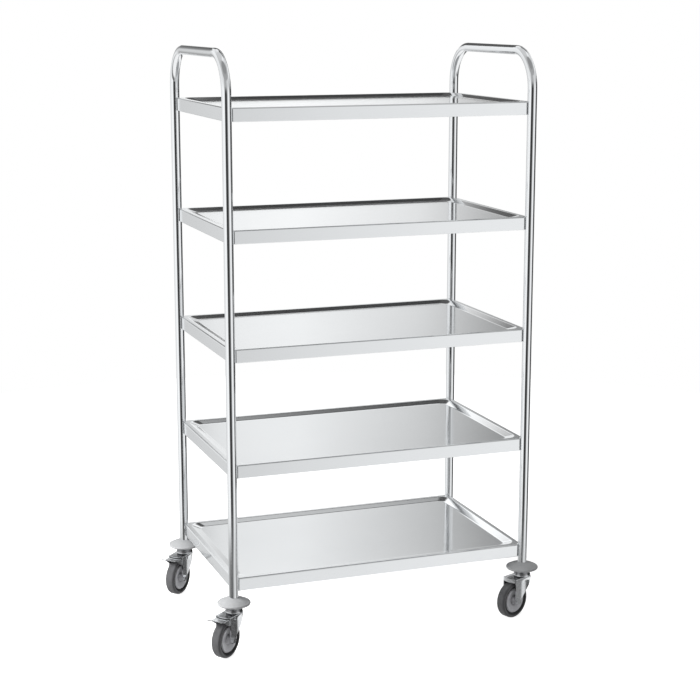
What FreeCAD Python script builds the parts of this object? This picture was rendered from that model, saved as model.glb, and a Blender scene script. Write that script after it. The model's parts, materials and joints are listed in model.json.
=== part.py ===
import FreeCAD, Part
import math
import os
import Sketcher
from types import SimpleNamespace

# Five-tier serving trolley: bent-tube end frames, pressed trays, swivel castors with toe brakes.
# Frame: X along the length, -Y the front, +Z up, origin on the floor between the four castors.

TRAYS = 5

# Driving dimensions in millimetres, degrees and counts.
SIZES = {
    # end frames
    "post_span_x": 835,
    "post_span_y": 515,
    "tube_diameter": 25,
    "tube_wall": 1.2,
    "bend_radius": 100,
    "leg_rise": 31.5,
    # trays
    "tray_rise": 16,
    "tray_pitch": 305,
    "rim_height": 35,
    "tray_depth": 7,
    "rim_flat": 7,
    "rim_slope": 6,
    "tray_corner_radius": 30,
    "rim_edge_radius": 4,
    "rim_bend_radius": 2.5,
    "floor_bend_radius": 3,
    "notch_edge_radius": 5,
    "lip_edge_radius": 1.6,
    "tray_sheet": 1,
    "tray_lip": 12,
    "notch_clearance": 0.1,
    # tray fixings
    "screw_level": 12,
    "screw_diameter": 6,
    "screw_length": 16,
    "screw_head_overhang": 2.25,
    "screw_head_height": 3.3,
    "screw_socket_diameter": 4.6,
    "screw_socket_depth": 2,
    "screw_clearance": 0.1,
    "saddle_thickness": 2.5,
    "saddle_width": 14,
    "rivet_nut_wall": 1.4,
    "rivet_nut_length": 9,
    "rivet_bulge_height": 0.9,
    "rivet_bulge_length": 2.5,
    "fixing_clearance": 0.05,
    "saddle_clearance": 0.1,
    # castor wheels
    "wheel_diameter": 100,
    "tread_width": 27,
    "tyre_shoulder": 6,
    "tyre_thickness": 14,
    "tyre_groove_width": 2.5,
    "tyre_groove_depth": 3,
    "hub_step": 2.5,
    "hub_face_inset": 1.5,
    "hub_dish": 4,
    "hub_band_width": 18,
    "hub_ring": 4,
    "hub_boss_diameter": 24,
    "hub_boss_stand": 6.5,
    "hub_side_clearance": 1,
    "sleeve_diameter": 12,
    "axle_diameter": 8,
    "axle_head_width": 13,
    "axle_head_height": 5.3,
    "axle_nut_height": 6.5,
    "axle_end": 2,
    "running_clearance": 0.06,
    "bond_clearance": 0.05,
    # castor forks and swivel heads
    "castor_trail": 40,
    "fork_sheet": 2.5,
    "fork_end_radius": 10,
    "fork_edge_radius": 3.5,
    "fork_toe_flat": 1,
    "fork_nose_drop": 5.5,
    "fork_tail": 7,
    "fork_tail_drop": 8,
    "dome_height": 7,
    "dome_inset": 0.5,
    "dome_flare": 2,
    "race_gap": 2.6,
    "cup_height": 8.4,
    "cup_ball_gap": 2.7,
    "cup_plate": 2.4,
    "skirt_gap": 0.8,
    "ball_diameter": 4.8,
    "ball_ring_diameter": 29,
    "ball_count": 10,
    "ball_seat_clearance": 0.1,
    "ball_race_clearance": 0.3,
    "king_pin_shoulder": 1,
    "king_pin_head_overhang": 4,
    "king_pin_head_height": 3,
    "head_clearance": 0.3,
    "stem_diameter": 10,
    "stem_headroom": 2,
    "plug_headroom": 1.7,
    "plug_clearance": 0.1,
    "plug_chamfer": 2,
    "bumper_diameter": 88,
    "bumper_edge": 8,
    "bumper_crown_height": 10,
    "bumper_crown_radius": 70,
    "front_left_turn": 40,
    "back_left_turn": 45,
    "front_right_turn": 23,
    "back_right_turn": 222,
    # toe brakes
    "pedal_sheet": 2,
    "pedal_side_clearance": 0.5,
    "pedal_edge_radius": 3,
    "pedal_cheek_depth": 16,
    "pedal_cheek_front": 40,
    "pedal_cheek_back": 55,
    "pedal_lip_width": 48,
    "pedal_reach": 92,
    "pedal_lip_length": 14,
    "pedal_lip_rise": 5,
    "pedal_gap": 1.5,
    "pedal_ear_wall": 2,
    "brake_pin_back": 27,
    "brake_pin_diameter": 4.5,
    "brake_pin_cover": 0.25,
    "brake_pin_end": 1.5,
    "brake_pin_head_overhang": 1.75,
    "shoe_back": 47,
    "shoe_length": 14,
    "shoe_thickness": 4,
    "shoe_lift": 4,
    "shoe_width": 22,
}

doc = FreeCAD.newDocument("serving_trolley")
sheet = doc.addObject("Spreadsheet::Sheet", "Dimensions")
for row, (alias, number) in enumerate(SIZES.items(), start=1):
    sheet.set(f"A{row}", alias)
    sheet.set(f"B{row}", str(number))
    sheet.setAlias(f"B{row}", alias)
doc.recompute()


class Size:
    """A number together with the sheet expression that gives it."""

    def __init__(self, value, text):
        self.value = value
        self.text = text

    def __add__(self, other):
        other = as_size(other)
        return Size(self.value + other.value, f"({self.text} + {other.text})")

    def __sub__(self, other):
        other = as_size(other)
        return Size(self.value - other.value, f"({self.text} - {other.text})")

    def __mul__(self, other):
        other = as_size(other)
        return Size(self.value * other.value, f"({self.text} * {other.text})")

    def __truediv__(self, other):
        other = as_size(other)
        return Size(self.value / other.value, f"({self.text} / {other.text})")

    def __neg__(self):
        return Size(-self.value, f"(0 - {self.text})")


def as_size(number):
    return number if isinstance(number, Size) else Size(number, str(number))


def root(size):
    return Size(math.sqrt(size.value), f"sqrt({size.text})")


ZERO = Size(0, "0")
TINY = 0.01
d = SimpleNamespace(**{name: Size(sheet.get(name), f"Dimensions.{name}") for name in SIZES})


# Sketches and features

def origin_feature(body, role):
    return next(item for item in body.Origin.OriginFeatures if item.Role == role)


def sketch_on(body, name, role, right=None, up=None, out=None, turn=0):
    """A sketch on one of the body's origin planes, moved in that plane's own directions."""
    sketch = body.newObject("Sketcher::SketchObject", name)
    sketch.AttachmentSupport = [(origin_feature(body, role), "")]
    sketch.MapMode = "FlatFace"
    sketch.AttachmentOffset = FreeCAD.Placement(
        FreeCAD.Vector(0, 0, 0), FreeCAD.Rotation(FreeCAD.Vector(0, 0, 1), turn))
    for axis, shift in (("x", right), ("y", up), ("z", out)):
        if shift is not None:
            sketch.setExpression(f"AttachmentOffset.Base.{axis}", shift.text)
    return sketch


def hold_point(sketch, curve, end, place):
    """Tie one end of a curve to its place, measured from the sketch's origin."""
    for kind, size, axis in (("DistanceX", place[0], -2), ("DistanceY", place[1], -1)):
        size = as_size(size)
        if size.text == "0":
            sketch.addConstraint(Sketcher.Constraint("PointOnObject", curve, end, axis))
        else:
            index = sketch.addConstraint(Sketcher.Constraint(kind, -1, 1, curve, end, size.value))
            sketch.setExpression(f"Constraints[{index}]", size.text)


def hold_radius(sketch, curve, size):
    index = sketch.addConstraint(Sketcher.Constraint("Radius", curve, size.value))
    sketch.setExpression(f"Constraints[{index}]", size.text)


def draw(sketch, steps, closed=True):
    """Draw an outline. A step is (x, y), a straight run to that corner, or
    (x, y, radius, turn), an arc to it that bends left (+1) or right (-1)."""
    corners = [FreeCAD.Vector(as_size(step[0]).value, as_size(step[1]).value, 0) for step in steps]
    ends = []
    for number, step in enumerate(steps):
        if number == 0 and not closed:
            continue
        start = corners[number - 1]
        stop = corners[number]
        if len(step) == 2:
            curve = sketch.addGeometry(Part.LineSegment(start, stop))
            ends.append((curve, 1, 2, step))
            continue
        radius, turn = step[2], step[3]
        chord = stop - start
        rise = math.sqrt(max(radius.value ** 2 - (chord.Length / 2) ** 2, 0))
        left = FreeCAD.Vector(-chord.y, chord.x, 0).normalize()
        centre = (start + stop) * 0.5 + left * (rise * turn)
        first, last = (start, stop) if turn > 0 else (stop, start)
        angles = [math.atan2(p.y - centre.y, p.x - centre.x) for p in (first, last)]
        circle = Part.Circle(centre, FreeCAD.Vector(0, 0, 1), radius.value)
        curve = sketch.addGeometry(Part.ArcOfCircle(circle, angles[0], angles[1]))
        hold_radius(sketch, curve, radius)
        ends.append((curve, 1, 2, step) if turn > 0 else (curve, 2, 1, step))
    for number, (curve, begin, end, step) in enumerate(ends):
        hold_point(sketch, curve, end, step)
        if number > 0 or closed:
            before = ends[number - 1]
            sketch.addConstraint(Sketcher.Constraint("Coincident", before[0], before[2], curve, begin))
    if not closed:
        hold_point(sketch, ends[0][0], ends[0][1], steps[0])


def draw_circle(sketch, radius, x=ZERO, y=ZERO):
    centre = FreeCAD.Vector(x.value, y.value, 0)
    curve = sketch.addGeometry(Part.Circle(centre, FreeCAD.Vector(0, 0, 1), radius.value))
    hold_radius(sketch, curve, radius)
    hold_point(sketch, curve, 3, (x, y))


def draw_box(sketch, low_x, low_y, high_x, high_y):
    draw(sketch, [(low_x, low_y), (high_x, low_y), (high_x, high_y), (low_x, high_y)])


def draw_hexagon(sketch, width):
    """A hexagon of the given width across flats, flats at left and right."""
    side = width / math.sqrt(3)
    half = width / 2
    draw(sketch, [(half, -(side / 2)), (half, side / 2), (ZERO, side),
                  (-half, side / 2), (-half, -(side / 2)), (ZERO, -side)])


def extrude(body, name, sketch, length, kind="Pad", both_ways=False, reverse=False):
    feature = body.newObject(f"PartDesign::{kind}", name)
    feature.Profile = sketch
    feature.SideType = "Symmetric" if both_ways else "One side"
    feature.Reversed = reverse
    feature.setExpression("Length", length.text)
    return feature


def revolve(body, name, sketch, axis, kind="Revolution"):
    feature = body.newObject(f"PartDesign::{kind}", name)
    feature.Profile = sketch
    feature.ReferenceAxis = (sketch, [axis])
    feature.Angle = 360
    return feature


def round_edges(body, name, radius, chosen):
    """Fillet the edges of the body's last feature that the test chooses."""
    doc.recompute()
    base = body.Tip
    names = [f"Edge{n}" for n, edge in enumerate(base.Shape.Edges, start=1) if chosen(edge)]
    feature = body.newObject("PartDesign::Fillet", name)
    feature.Base = (base, names)
    feature.setExpression("Radius", radius.text)
    return feature


def mirror_step(body, name, role):
    step = body.newObject("PartDesign::Mirrored", name)
    step.MirrorPlane = (origin_feature(body, role), [""])
    return step


def tier_step(body, name):
    """Repeat a fixing at every tray level."""
    step = body.newObject("PartDesign::LinearPattern", name)
    step.Direction = (origin_feature(body, "Z_Axis"), [""])
    step.setExpression("Length", (d.tray_pitch * (TRAYS - 1)).text)
    step.Occurrences = TRAYS
    return step


def repeat(body, name, originals, steps):
    doc.recompute()
    pattern = body.newObject("PartDesign::MultiTransform", name)
    pattern.Originals = originals
    pattern.Transformations = steps
    body.Tip = pattern
    return pattern


def ring(body, name, original, count):
    """Repeat a feature round the body's upright axis."""
    doc.recompute()
    pattern = body.newObject("PartDesign::PolarPattern", name)
    pattern.Originals = [original]
    pattern.Axis = (origin_feature(body, "Z_Axis"), [""])
    pattern.Angle = 360
    pattern.setExpression("Occurrences", count.text)
    body.Tip = pattern
    return pattern


subparts = []


def new_body(label, group=False):
    body = doc.addObject("PartDesign::Body", label)
    body.Label = label
    body.AllowCompound = group
    subparts.append(body)
    return body


def place(item, x=ZERO, y=ZERO, z=ZERO, turn=ZERO):
    for axis, size in (("x", x), ("y", y), ("z", z)):
        item.setExpression(f"Placement.Base.{axis}", size.text)
    item.setExpression("Placement.Rotation.Angle", turn.text)


# Levels and radii that several pieces share

tube_radius = d.tube_diameter / 2
tube_bore = tube_radius - d.tube_wall
notch_radius = tube_radius + d.notch_clearance
half_x = d.post_span_x / 2
half_y = d.post_span_y / 2

axle_level = d.wheel_diameter / 2
shoe_underside = d.wheel_diameter + d.shoe_lift
pedal_underside = shoe_underside + d.shoe_thickness
pedal_top = pedal_underside + d.pedal_sheet
crown_underside = pedal_top + d.pedal_gap
crown_top = crown_underside + d.fork_sheet
race_level = crown_top + d.dome_height
cup_underside = race_level + d.race_gap
bumper_level = cup_underside + d.cup_height
bumper_rim_top = bumper_level + d.bumper_edge
foot_level = bumper_rim_top + d.bumper_crown_height
bottom_tray_level = foot_level + d.tray_rise
top_rim_level = bottom_tray_level + d.tray_pitch * (TRAYS - 1) + d.rim_height
ball_level = race_level + d.race_gap / 2
ball_radius = d.ball_diameter / 2
ball_ring = d.ball_ring_diameter / 2

# Fixings stand on a line from each post's axis towards the middle of the tray.
FIXING_TURN = 45
saddle_seat = notch_radius + d.tray_sheet + d.saddle_clearance
screw_seat = saddle_seat + d.saddle_thickness
screw_radius = d.screw_diameter / 2
rivet_radius = screw_radius + d.rivet_nut_wall
rivet_hole = rivet_radius + d.fixing_clearance
rivet_mouth = root(tube_radius * tube_radius - rivet_hole * rivet_hole)
bulge_radius = rivet_radius + d.rivet_bulge_height
bulge_seat = root(tube_bore * tube_bore - bulge_radius * bulge_radius)
fixing_level = bottom_tray_level + d.screw_level
plug_top = fixing_level - bulge_radius - d.plug_headroom
stem_top = plug_top - d.stem_headroom


# End frames

def end_frame(label, x, turn):
    """One bent tube: two legs and the hoop handle over them, drilled for the rivet nuts."""
    body = new_body(label)
    spring = top_rim_level + d.leg_rise
    bar_level = spring + d.bend_radius
    shoulder = half_y - d.bend_radius
    path = sketch_on(body, f"{label}_path", "YZ_Plane")
    draw(path, [(-half_y, foot_level), (-half_y, spring), (-shoulder, bar_level, d.bend_radius, -1),
                (shoulder, bar_level), (half_y, spring, d.bend_radius, -1), (half_y, foot_level)],
         closed=False)
    section = sketch_on(body, f"{label}_section", "XY_Plane", out=foot_level)
    draw_circle(section, tube_radius, ZERO, -half_y)
    draw_circle(section, tube_bore, ZERO, -half_y)
    tube = body.newObject("PartDesign::AdditivePipe", f"{label}_tube")
    tube.Profile = section
    tube.Spine = (path, [])
    drill = sketch_on(body, f"{label}_drill", "XY_Plane", up=-half_y, out=fixing_level, turn=FIXING_TURN)
    draw_box(drill, tube_bore / 2, ZERO, tube_radius + d.tube_wall, rivet_hole)
    hole = revolve(body, f"{label}_hole", drill, "H_Axis", "Groove")
    repeat(body, f"{label}_holes", [hole],
           [mirror_step(body, f"{label}_legs", "XZ_Plane"), tier_step(body, f"{label}_tiers")])
    place(body, x=x, turn=turn)


end_frame("left_end_frame", -half_x, ZERO)
end_frame("right_end_frame", half_x, Size(180, "180"))


# Trays

slope_taper = f"-1 * atan({d.rim_slope.text} / {d.tray_depth.text})"


# Corners in turn round a plan, as signs of x and y, from the front right one.
AROUND = ((1, -1), (1, 1), (-1, 1), (-1, -1))


def tray_outline(sketch, inset):
    """The tray's plan: straight sides through the post axes, notched round the four posts,
    with a bend where each side runs into a notch."""
    notch = notch_radius + inset
    bend = d.notch_edge_radius - inset
    reach = notch_radius + d.notch_edge_radius
    along = root(reach * reach - d.notch_edge_radius * d.notch_edge_radius)
    touch = notch / reach
    quarter = [
        (half_x - along, half_y - inset),
        (half_x - along * touch, half_y - d.notch_edge_radius * touch),
        (half_x - d.notch_edge_radius * touch, half_y - along * touch),
        (half_x - inset, half_y - along)]
    steps = []
    for sign_x, sign_y in AROUND:
        stops = [(x * sign_x, y * sign_y) for x, y in quarter]
        if sign_x == sign_y:
            stops.reverse()
        steps += [stops[0], (*stops[1], bend, 1), (*stops[2], notch, -1), (*stops[3], bend, 1)]
    draw(sketch, steps)


def lip_opening(sketch):
    """The opening inside the in-turned lower lip, with plain corners at the notches."""
    x = half_x - d.tray_lip
    y = half_y - d.tray_lip
    notch = notch_radius + d.tray_lip
    away = root(notch * notch - d.tray_lip * d.tray_lip)
    steps = []
    for sign_x, sign_y in AROUND:
        stops = [((half_x - away) * sign_x, y * sign_y), (x * sign_x, (half_y - away) * sign_y)]
        if sign_x == sign_y:
            stops.reverse()
        steps += [stops[0], (*stops[1], notch, -1)]
    draw(sketch, steps)


def rounded_outline(sketch, inset, radius):
    x = half_x - inset
    y = half_y - inset
    draw(sketch, [
        (x - radius, -y), (x, radius - y, radius, 1), (x, y - radius), (x - radius, y, radius, 1),
        (radius - x, y), (-x, y - radius, radius, 1), (-x, radius - y), (radius - x, -y, radius, 1)])


def flat_edges(level, inset=ZERO):
    """A test for level edges of a tray that lie inside its outline by an inset or more."""
    reach_x = (half_x - inset).value + TINY
    reach_y = (half_y - inset).value + TINY

    def chosen(edge):
        box = edge.BoundBox
        level_edge = abs(box.ZMin - level.value) < TINY and box.ZLength < TINY
        return level_edge and max(box.XMax, -box.XMin) < reach_x and max(box.YMax, -box.YMin) < reach_y

    return chosen


def tray(label, level):
    """A pressed sheet tray: rounded rim, sloped inner sides, flat floor, in-turned lower lip."""
    body = new_body(label)
    plan = sketch_on(body, f"{label}_plan", "XY_Plane")
    tray_outline(plan, ZERO)
    extrude(body, f"{label}_block", plan, d.rim_height)
    hollow = sketch_on(body, f"{label}_hollow_plan", "XY_Plane")
    tray_outline(hollow, d.tray_sheet)
    ceiling = d.rim_height - d.tray_sheet
    extrude(body, f"{label}_hollow", hollow, ceiling, "Pocket", reverse=True)
    round_edges(body, f"{label}_hollow_edges", d.rim_edge_radius - d.tray_sheet, flat_edges(ceiling))
    round_edges(body, f"{label}_rim_edges", d.rim_edge_radius, flat_edges(d.rim_height))
    slope_length = root(d.tray_depth * d.tray_depth + d.rim_slope * d.rim_slope)
    skin = d.tray_sheet * slope_length / d.tray_depth
    pan = sketch_on(body, f"{label}_pan_plan", "XY_Plane", out=d.rim_height)
    rounded_outline(pan, d.rim_flat - skin, d.tray_corner_radius + skin)
    pressed = extrude(body, f"{label}_pan", pan, d.tray_depth + d.tray_sheet, reverse=True)
    pressed.setExpression("TaperAngle", slope_taper)
    well = sketch_on(body, f"{label}_well_plan", "XY_Plane", out=d.rim_height)
    rounded_outline(well, d.rim_flat, d.tray_corner_radius)
    sunk = extrude(body, f"{label}_well", well, d.tray_depth, "Pocket")
    sunk.setExpression("TaperAngle", slope_taper)
    floor_level = d.rim_height - d.tray_depth
    round_edges(body, f"{label}_well_top", d.rim_bend_radius, flat_edges(d.rim_height, d.rim_flat))
    round_edges(body, f"{label}_well_foot", d.floor_bend_radius, flat_edges(floor_level))
    round_edges(body, f"{label}_pan_foot", d.floor_bend_radius + d.tray_sheet,
                flat_edges(floor_level - d.tray_sheet))
    round_edges(body, f"{label}_pan_top", d.rim_bend_radius - d.tray_sheet,
                flat_edges(ceiling, d.rim_flat - skin))
    lip = sketch_on(body, f"{label}_lip_plan", "XY_Plane")
    tray_outline(lip, ZERO)
    lip_opening(lip)
    extrude(body, f"{label}_lip", lip, d.tray_sheet)
    round_edges(body, f"{label}_lip_edges", d.lip_edge_radius,
                lambda edge: flat_edges(ZERO)(edge) and not flat_edges(ZERO, d.tray_lip)(edge))
    drill = sketch_on(body, f"{label}_drill", "XY_Plane", right=-half_x, up=-half_y,
                      out=d.screw_level, turn=FIXING_TURN)
    draw_box(drill, tube_radius - d.tray_sheet, ZERO, screw_seat, screw_radius + d.screw_clearance)
    hole = revolve(body, f"{label}_hole", drill, "H_Axis", "Groove")
    repeat(body, f"{label}_holes", [hole],
           [mirror_step(body, f"{label}_ends", "YZ_Plane"), mirror_step(body, f"{label}_sides", "XZ_Plane")])
    place(body, z=level)


for number in range(1, TRAYS + 1):
    tray(f"tray_{number}", bottom_tray_level + d.tray_pitch * (TRAYS - number))


# Tray fixings, one in each corner of each tray

def fixing_sketch(body, name):
    return sketch_on(body, name, "XY_Plane", right=-half_x, up=-half_y, out=fixing_level, turn=FIXING_TURN)


def at_every_corner(body, *originals):
    repeat(body, f"{body.Label}_all", list(originals),
           [mirror_step(body, f"{body.Label}_ends", "YZ_Plane"),
            mirror_step(body, f"{body.Label}_sides", "XZ_Plane"),
            tier_step(body, f"{body.Label}_tiers")])


def tray_screws():
    """Round-headed socket screws, driven outwards from inside the rim."""
    body = new_body("tray_screws", group=True)
    profile = fixing_sketch(body, "screw_profile")
    tip = screw_seat - d.screw_length
    head = screw_seat + d.screw_head_height
    shank = screw_radius - d.fixing_clearance
    head_radius = screw_radius + d.screw_head_overhang
    socket = d.screw_socket_diameter / 2
    socket_floor = head - d.screw_socket_depth
    draw(profile, [(tip, ZERO), (socket_floor, ZERO), (socket_floor, socket), (head, socket),
                   (head, head_radius - d.screw_head_height / 2),
                   (screw_seat, head_radius), (screw_seat, shank), (tip, shank)])
    at_every_corner(body, revolve(body, "screw", profile, "H_Axis"))


def saddle_washers():
    """Washers hollowed to sit on the curved corner wall, flat under the screw head."""
    body = new_body("saddle_washers", group=True)
    plan = fixing_sketch(body, "saddle_plan")
    half = d.saddle_width / 2
    edge = root(saddle_seat * saddle_seat - half * half)
    draw(plan, [(edge, -half, saddle_seat, -1), (screw_seat, -half), (screw_seat, half), (edge, half)])
    saddle = extrude(body, "saddle", plan, d.saddle_width, both_ways=True)
    drill = fixing_sketch(body, "saddle_drill")
    draw_box(drill, tube_radius, ZERO, screw_seat + d.tray_sheet, screw_radius + d.screw_clearance)
    hole = revolve(body, "saddle_hole", drill, "H_Axis", "Groove")
    at_every_corner(body, saddle, hole)


def rivet_nuts():
    """Threaded rivet nuts, set through the tube wall with their bulge behind it."""
    body = new_body("rivet_nuts", group=True)
    profile = fixing_sketch(body, "rivet_profile")
    inner = rivet_mouth - d.rivet_nut_length
    bulge = bulge_seat - d.fixing_clearance
    draw(profile, [(inner, screw_radius), (rivet_mouth, screw_radius), (rivet_mouth, rivet_radius),
                   (bulge, rivet_radius), (bulge, bulge_radius),
                   (bulge - d.rivet_bulge_length, bulge_radius),
                   (bulge - d.rivet_bulge_length, rivet_radius), (inner, rivet_radius)])
    at_every_corner(body, revolve(body, "rivet_nut", profile, "H_Axis"))


tray_screws()
saddle_washers()
rivet_nuts()


# Castors. Each is modelled at the origin with its wheel trailing along -X, then turned about
# its stem and set under its post.

axle_x = -d.castor_trail
tread_half = d.tread_width / 2
boss_half = tread_half + d.hub_boss_stand
fork_inner = boss_half + d.hub_side_clearance
fork_outer = fork_inner + d.fork_sheet
fork_foot = axle_level - d.fork_end_radius
fork_back = axle_x - d.fork_end_radius
dome_ceiling = race_level - d.fork_sheet
stem_radius = d.stem_diameter / 2
king_pin_radius = stem_radius + d.king_pin_shoulder
cup_skirt = ball_ring + ball_radius + d.cup_ball_gap
cup_radius = cup_skirt + d.cup_plate
dome_top_radius = cup_radius - d.dome_inset
dome_base_radius = dome_top_radius + d.dome_flare
axle_radius = d.axle_diameter / 2
tyre_bore = axle_level - d.tyre_thickness
brake_pin_x = -d.brake_pin_back
brake_pin_radius = d.brake_pin_diameter / 2
brake_pin_level = pedal_underside - brake_pin_radius - d.brake_pin_cover
pedal_ear = brake_pin_radius + d.pedal_ear_wall


def castor_body(corner, piece, group=False):
    body = new_body(f"{corner.name}_{piece}", group)
    place(body, x=corner.x, y=corner.y, turn=corner.turn)
    return body


def upright_sketch(body, name, right=None, up=None):
    return sketch_on(body, f"{body.Label}_{name}", "XZ_Plane", right=right, up=up)


def axle_sketch(body, name):
    """A sketch through the axle: across the wheel, and outwards from the axle's line."""
    return sketch_on(body, f"{body.Label}_{name}", "YZ_Plane", up=axle_level, out=axle_x)


def turned_piece(corner, piece, steps):
    """A piece turned about the castor's stem, from its profile (radius, height)."""
    body = castor_body(corner, piece)
    profile = upright_sketch(body, "profile")
    draw(profile, steps)
    revolve(body, f"{body.Label}_turned", profile, "V_Axis")
    return body


def ball_groove(body, clearance):
    circle = upright_sketch(body, "groove_profile")
    draw_circle(circle, ball_radius + clearance, ball_ring, ball_level)
    revolve(body, f"{body.Label}_groove", circle, "V_Axis", "Groove")


def tube_plug(corner):
    """Nylon plug in the foot of the leg, bored for the castor's stem."""
    bore = stem_radius + d.fixing_clearance
    outside = tube_bore - d.plug_clearance
    turned_piece(corner, "tube_plug", [
        (bore, foot_level), (outside, foot_level), (outside, plug_top - d.plug_chamfer),
        (outside - d.plug_chamfer, plug_top), (bore, plug_top)])


def bumper(corner):
    """Soft round bumper disc, clamped between the leg and the castor."""
    bore = stem_radius + d.fixing_clearance
    rim = d.bumper_diameter / 2
    edge = d.bumper_edge / 2
    turned_piece(corner, "bumper", [
        (bore, bumper_level), (rim - edge, bumper_level), (rim, bumper_level + edge, edge, 1),
        (rim - edge, bumper_rim_top, edge, 1),
        (tube_radius, foot_level, d.bumper_crown_radius, 1), (bore, foot_level)])


def castor_stem(corner):
    """Threaded stud above, king pin with its riveted head below."""
    head_top = dome_ceiling - d.head_clearance
    head_foot = head_top - d.king_pin_head_height
    head_radius = king_pin_radius + d.king_pin_head_overhang
    turned_piece(corner, "stem", [
        (ZERO, head_foot), (head_radius, head_foot), (head_radius, head_top),
        (king_pin_radius, head_top), (king_pin_radius, bumper_level),
        (stem_radius, bumper_level), (stem_radius, stem_top), (ZERO, stem_top)])


def top_cup(corner):
    """Fixed upper half of the swivel bearing, with a skirt round the balls."""
    bore = king_pin_radius + d.fixing_clearance
    skirt_foot = race_level + d.skirt_gap
    body = turned_piece(corner, "top_cup", [
        (bore, cup_underside), (cup_skirt, cup_underside), (cup_skirt, skirt_foot), (cup_radius, skirt_foot),
        (cup_radius, bumper_level - d.cup_plate), (cup_skirt, bumper_level), (bore, bumper_level)])
    ball_groove(body, d.ball_seat_clearance)


def swivel_balls(corner):
    body = castor_body(corner, "swivel_balls", group=True)
    profile = upright_sketch(body, "profile", right=ball_ring, up=ball_level)
    draw(profile, [(ZERO, -ball_radius), (ball_radius, ZERO, ball_radius, 1),
                   (ZERO, ball_radius, ball_radius, 1)])
    ball = revolve(body, f"{body.Label}_ball", profile, "V_Axis")
    ring(body, f"{body.Label}_ring", ball, d.ball_count)


def fork_tail(body, braked):
    """The crown's bowed rear edge, flat over a brake pedal and turned down on the other forks."""
    bow = (fork_outer * fork_outer + d.fork_tail * d.fork_tail) / (d.fork_tail * 2)
    foot = crown_underside if braked else crown_underside - d.fork_tail_drop
    plan = sketch_on(body, f"{body.Label}_tail_plan", "XY_Plane", out=foot)
    draw(plan, [(fork_back, fork_outer), (fork_back, -fork_outer, bow, 1)])
    extrude(body, f"{body.Label}_tail", plan, crown_top - foot)
    if not braked:
        chord = bow - d.fork_tail
        inner_bow = bow - d.fork_sheet
        half = root(inner_bow * inner_bow - chord * chord)
        inside = sketch_on(body, f"{body.Label}_tail_inside_plan", "XY_Plane", out=foot)
        draw(inside, [(fork_back, half), (fork_back, -half, inner_bow, 1)])
        extrude(body, f"{body.Label}_tail_inside", inside, crown_underside - foot, "Pocket", reverse=True)


def fork(corner):
    """Pressed fork: a round-nosed crown cut back to two tapering legs, with a bowed tail and
    the domed lower race. An unbraked fork's tail turns down over the tyre."""
    body = castor_body(corner, "fork")
    plan = sketch_on(body, f"{body.Label}_plan", "XY_Plane", out=fork_foot)
    draw(plan, [(fork_back, -fork_outer), (ZERO, -fork_outer), (fork_outer, ZERO, fork_outer, 1),
                (ZERO, fork_outer, fork_outer, 1), (fork_back, fork_outer)])
    extrude(body, f"{body.Label}_block", plan, crown_top - fork_foot)
    top = crown_top.value
    back = fork_back.value
    round_edges(body, f"{body.Label}_bends", d.fork_edge_radius,
                lambda edge: edge.BoundBox.ZMin > top - TINY and edge.BoundBox.XMax > back + TINY)
    inside = sketch_on(body, f"{body.Label}_inside_plan", "XY_Plane", out=fork_foot)
    open_back = fork_back - d.fork_sheet
    draw(inside, [(open_back, -fork_inner), (ZERO, -fork_inner), (fork_inner, ZERO, fork_inner, 1),
                  (ZERO, fork_inner, fork_inner, 1), (open_back, fork_inner)])
    extrude(body, f"{body.Label}_inside", inside, crown_underside - fork_foot, "Pocket", reverse=True)
    across = (fork_outer + d.fork_sheet) * 2
    relief = upright_sketch(body, "relief_profile")
    below = fork_foot - d.fork_sheet
    beyond = fork_outer + d.fork_sheet
    nose_foot = crown_underside - d.fork_nose_drop
    leg_front = axle_x + d.fork_end_radius
    draw(relief, [(leg_front, below), (beyond, below), (beyond, nose_foot), (fork_outer, nose_foot),
                  (leg_front, axle_level)])
    extrude(body, f"{body.Label}_relief", relief, across, "Pocket", both_ways=True)
    foot = fork_foot.value
    round_edges(body, f"{body.Label}_toes", d.fork_end_radius - d.fork_toe_flat,
                lambda edge: edge.BoundBox.ZMax < foot + TINY and edge.BoundBox.XLength < TINY)
    fork_tail(body, corner.braked)
    dome = upright_sketch(body, "dome_profile")
    draw(dome, [(ZERO, crown_underside), (dome_top_radius, crown_underside), (dome_base_radius, crown_top),
                (dome_top_radius, race_level), (ZERO, race_level)])
    revolve(body, f"{body.Label}_dome", dome, "V_Axis")
    hollow = upright_sketch(body, "hollow_profile")
    hollow_radius = dome_top_radius - d.fork_sheet
    draw_box(hollow, ZERO, crown_underside - d.fork_sheet, hollow_radius, dome_ceiling)
    revolve(body, f"{body.Label}_hollow", hollow, "V_Axis", "Groove")
    pin_hole = upright_sketch(body, "pin_hole_profile")
    pin_bore = king_pin_radius + d.running_clearance
    draw_box(pin_hole, ZERO, dome_ceiling - d.fork_sheet, pin_bore, cup_underside)
    revolve(body, f"{body.Label}_pin_hole", pin_hole, "V_Axis", "Groove")
    ball_groove(body, d.ball_race_clearance)
    bolts = upright_sketch(body, "holes")
    draw_circle(bolts, axle_radius + d.fixing_clearance, axle_x, axle_level)
    if corner.braked:
        draw_circle(bolts, brake_pin_radius + d.fixing_clearance, brake_pin_x, brake_pin_level)
    extrude(body, f"{body.Label}_drilled", bolts, across, "Pocket", both_ways=True)


def axle_piece(corner, piece, steps):
    """A piece turned about the axle, from its profile (across, radius)."""
    body = castor_body(corner, piece)
    profile = axle_sketch(body, "profile")
    draw(profile, steps)
    revolve(body, f"{body.Label}_turned", profile, "H_Axis")
    return body


def axle_sleeve(corner):
    bore = axle_radius + d.fixing_clearance
    outside = d.sleeve_diameter / 2
    axle_piece(corner, "axle_sleeve", [
        (-fork_inner, bore), (fork_inner, bore), (fork_inner, outside), (-fork_inner, outside)])


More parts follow.
